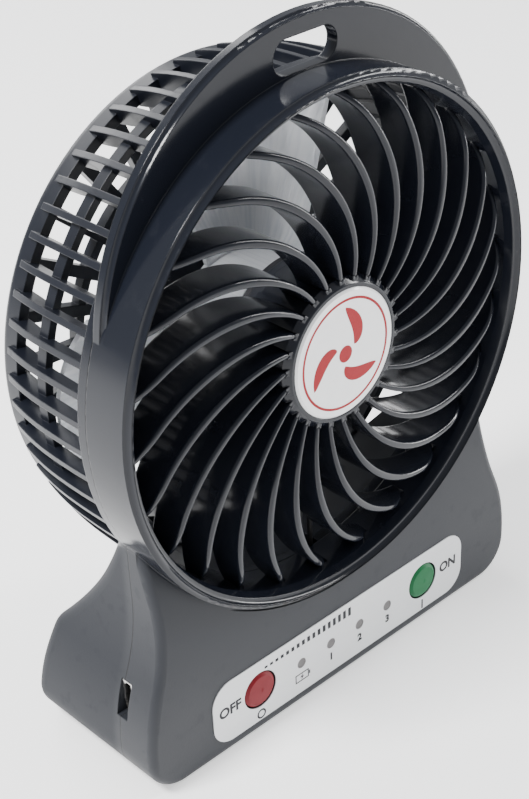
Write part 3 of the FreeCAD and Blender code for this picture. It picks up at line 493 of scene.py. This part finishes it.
# -------------------------------------------------------------------------------------- control label
# A silver polyester film with a fine brushed coat, printed with the switch names, the speed numbers, a
# battery sign and a row of bars that grow with the speed.

label_low, label_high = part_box("control_label")
film = Finish("silver_label", {"Metallic": 0.35})
place = film.place()
brush = film.noise(place, 1.0, 3.0, stretch=(0.15, 1.0, 6.0))
fleck = film.noise(place, 6.0, 2.0)
film.set({
    "Base Color": film.mix(brush * 0.7 + fleck * 0.3, (0.70, 0.71, 0.72, 1.0), (0.60, 0.61, 0.62, 1.0)),
    "Roughness": 0.34 + 0.12 * brush,
    "Normal": film.bump(brush + fleck, 0.006),
})
put_on(film, "control_label")

black_ink = ink("black_ink", (0.014, 0.014, 0.018, 1.0))
button_z, reach = centre_of("on_button").z, centre_of("on_button").x
lamps = ("charge_lamp", "speed_lamp_1", "speed_lamp_2", "speed_lamp_3")
lamp_x = [centre_of(lamp).x for lamp in lamps]
number_z, sign_z, word_gap = 6.9, 4.4, 8.2


def lettered(name, words, centre, height):
    """Print a word or a number centred on x, z, with capitals height millimetres tall."""
    text = bpy.data.curves.new(name, "FONT")
    text.body = words
    text.size = height * MM / 0.69
    text.align_x, text.align_y = "CENTER", "CENTER"
    text.extrude = INK_DEPTH / 2
    text.offset = 0.00011
    return stamped(name, text, centre, label_low.y, black_ink)


lettered("word_off", "OFF", (-reach - word_gap, button_z), 2.3)
lettered("word_on", "ON", (reach + word_gap, button_z), 2.3)
for number, x in zip("123", lamp_x[1:]):
    lettered("number_" + number, number, (x, number_z), 1.7)


def square_loop(x, z, half_x, half_z):
    return [(x - half_x, z - half_z), (x + half_x, z - half_z), (x + half_x, z + half_z),
            (x - half_x, z + half_z)]


battery_x, battery_z = lamp_x[0], number_z
bolt = [(0.25, 0.75), (-0.55, -0.1), (-0.05, -0.1), (-0.25, -0.75), (0.55, 0.1), (0.05, 0.1)]
printed("battery_sign", [
    square_loop(battery_x, battery_z, 1.9, 1.05), square_loop(battery_x, battery_z, 1.65, 0.8),
    square_loop(battery_x + 2.15, battery_z, 0.15, 0.45),
    [(battery_x + x, battery_z + z) for x, z in bolt]], label_low.y, black_ink)
bars = [square_loop(-22.5 + 1.5 * i, 15.5, 0.4, 0.25 + 0.05 * i) for i in range(17)]
printed("speed_bars", bars, label_low.y, black_ink)
printed("power_sign_off", [round_loop(-reach, sign_z, 1.2), round_loop(-reach, sign_z, 0.8)], label_low.y,
        black_ink)
printed("power_sign_on", [square_loop(reach, sign_z, 0.22, 1.2)], label_low.y, black_ink)

# ------------------------------------------------------------------------------------------ inner parts
# The electrics and the motor: plain bought-in parts, mostly hidden. Metals are nickel plate, bronze and
# lamination steel; the leads are PVC; the board has a green mask.


def inner_finish(name, colour, roughness, metallic=0.0, scale=0.8, sockets=None):
    """A bought-in part's finish: a colour that varies a little, with a light grain."""
    finish = Finish(name, dict({"Metallic": metallic}, **(sockets or {})))
    place = finish.place()
    grain = finish.noise(place, scale, 4.0)
    darker = tuple(0.7 * part for part in colour) + (1.0,)
    finish.set({
        "Base Color": finish.mix(grain, (*colour, 1.0), darker),
        "Roughness": roughness * (0.85 + 0.3 * grain),
        "Normal": finish.bump(grain, 0.01),
    })
    return finish


plate = inner_finish("nickel_plate", (0.72, 0.71, 0.69), 0.24, 1.0, 1.5)
put_on(plate, "usb_shell", "motor_can", "battery_cap", "negative_contact", "positive_contact")
put_on(inner_finish("black_screw", (0.05, 0.05, 0.055), 0.35, 0.9), "housing_screws", "board_screws",
       "clamp_screws", "motor_clamp")
put_on(inner_finish("ground_steel", (0.6, 0.6, 0.61), 0.18, 1.0, 3.0), "motor_shaft")
put_on(inner_finish("oiled_bronze", (0.55, 0.36, 0.16), 0.4, 1.0, 2.5), "front_bush", "rear_bush")
put_on(inner_finish("laminations", (0.42, 0.25, 0.14), 0.45, 0.8, 2.0), "armature")
put_on(inner_finish("ferrite", (0.07, 0.07, 0.075), 0.7), "motor_magnet")
put_on(inner_finish("green_board", (0.015, 0.16, 0.06), 0.3), "circuit_board")
put_on(inner_finish("black_moulding", (0.02, 0.02, 0.022), 0.45), "off_switch", "on_switch", "control_chip",
       "charging_chip", "usb_tongue")
put_on(inner_finish("grey_moulding", (0.12, 0.12, 0.12), 0.4), "off_switch_plunger", "on_switch_plunger")
put_on(inner_finish("white_moulding", (0.78, 0.77, 0.73), 0.45), "motor_end_cap", "motor_plug")
put_on(inner_finish("cell_sleeve", (0.03, 0.11, 0.38), 0.25), "battery_cell")
put_on(inner_finish("red_pvc", (0.45, 0.02, 0.02), 0.4), "positive_cell_lead")
motor_leads = [name for name in nodes if name.startswith("motor_lead_")]
put_on(inner_finish("black_pvc", (0.02, 0.02, 0.02), 0.4), *motor_leads, "negative_cell_lead")
put_on(inner_finish("lamp_resin", (0.75, 0.72, 0.5), 0.3), *lamps)
put_on(inner_finish("lamp_window", (0.16, 0.15, 0.15), 0.3, 0.0, 1.2, {"Transmission Weight": 0.3}),
       "light_guide")

# --------------------------------------------------------------------------------------- socket contacts
# Four gilt strips on the socket's tongue, pressed from thin bronze sheet. They are held in the tongue's
# moulding.

tongue_low, tongue_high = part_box("usb_tongue")
contact_count, contact_wide, contact_thick, contact_long = 4, 0.8 * MM, 0.08 * MM, 2.6 * MM
contact_pitch = (tongue_high.z - tongue_low.z - contact_wide) / contact_count
contacts = bmesh.new()
for index in range(contact_count):
    height = (tongue_low.z + tongue_high.z) / 2 + (index - (contact_count - 1) / 2) * contact_pitch
    spot = Matrix.Translation(
        (tongue_low.x + contact_long / 2 + 0.2 * MM, tongue_low.y - contact_thick / 2, height))
    strip = Matrix.Diagonal((contact_long, contact_thick, contact_wide, 1.0))
    bmesh.ops.create_cube(contacts, size=1.0, matrix=spot @ strip)
bmesh.ops.bevel(contacts, geom=list(contacts.edges), offset=0.02 * MM, segments=1, affect="EDGES")
contact_mesh = bpy.data.meshes.new("socket_contacts")
contacts.to_mesh(contact_mesh)
contacts.free()
gilt = inner_finish("gilt", (0.86, 0.62, 0.26), 0.2, 1.0, 2.0)
mesh_piece("socket_contacts", contact_mesh, gilt, "housing")
